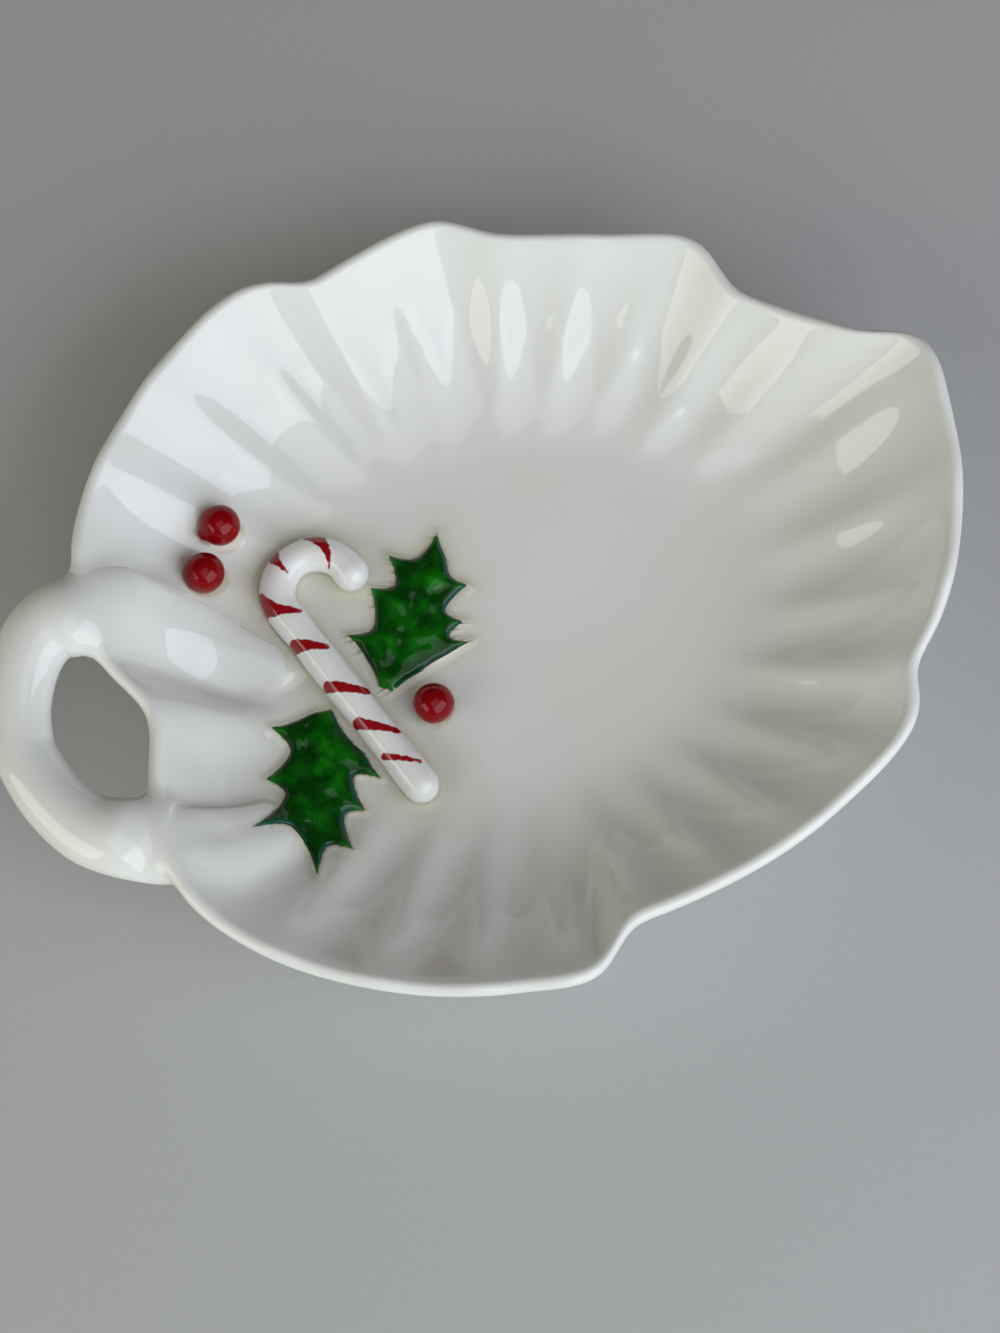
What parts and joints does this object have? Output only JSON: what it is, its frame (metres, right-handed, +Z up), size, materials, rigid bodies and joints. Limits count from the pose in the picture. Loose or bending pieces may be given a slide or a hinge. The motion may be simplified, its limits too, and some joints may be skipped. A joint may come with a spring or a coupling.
{
  "type": "ring dish",
  "caption": "Shallow leaf-shaped glazed earthenware dish with fluted walls, a looped stem handle and an applied candy cane, holly leaves and berries, for rings or sweets.",
  "frame": {"origin": "centre of the oval foot ring, on the plane the dish stands on", "axes": "+X to the tip of the leaf, -X to the loop handle, +Z up out of the bowl"},
  "size_m": [0.1679, 0.1319, 0.0312],
  "materials": {
    "white_glaze": "glossy white glaze over earthenware",
    "cane_glaze": "glossy white glaze with painted red strokes",
    "green_glaze": "glossy deep green underglaze colour",
    "red_glaze": "glossy red underglaze colour"
  },
  "bodies": {
    "root": {"dish_shell": "white_glaze", "loop_handle": "white_glaze", "candy_cane": "cane_glaze", "holly_leaf_upper": "green_glaze", "holly_leaf_lower": "green_glaze", "berry_wall_upper": "red_glaze", "berry_wall_lower": "red_glaze", "berry_floor": "red_glaze"}
  },
  "joints": []
}
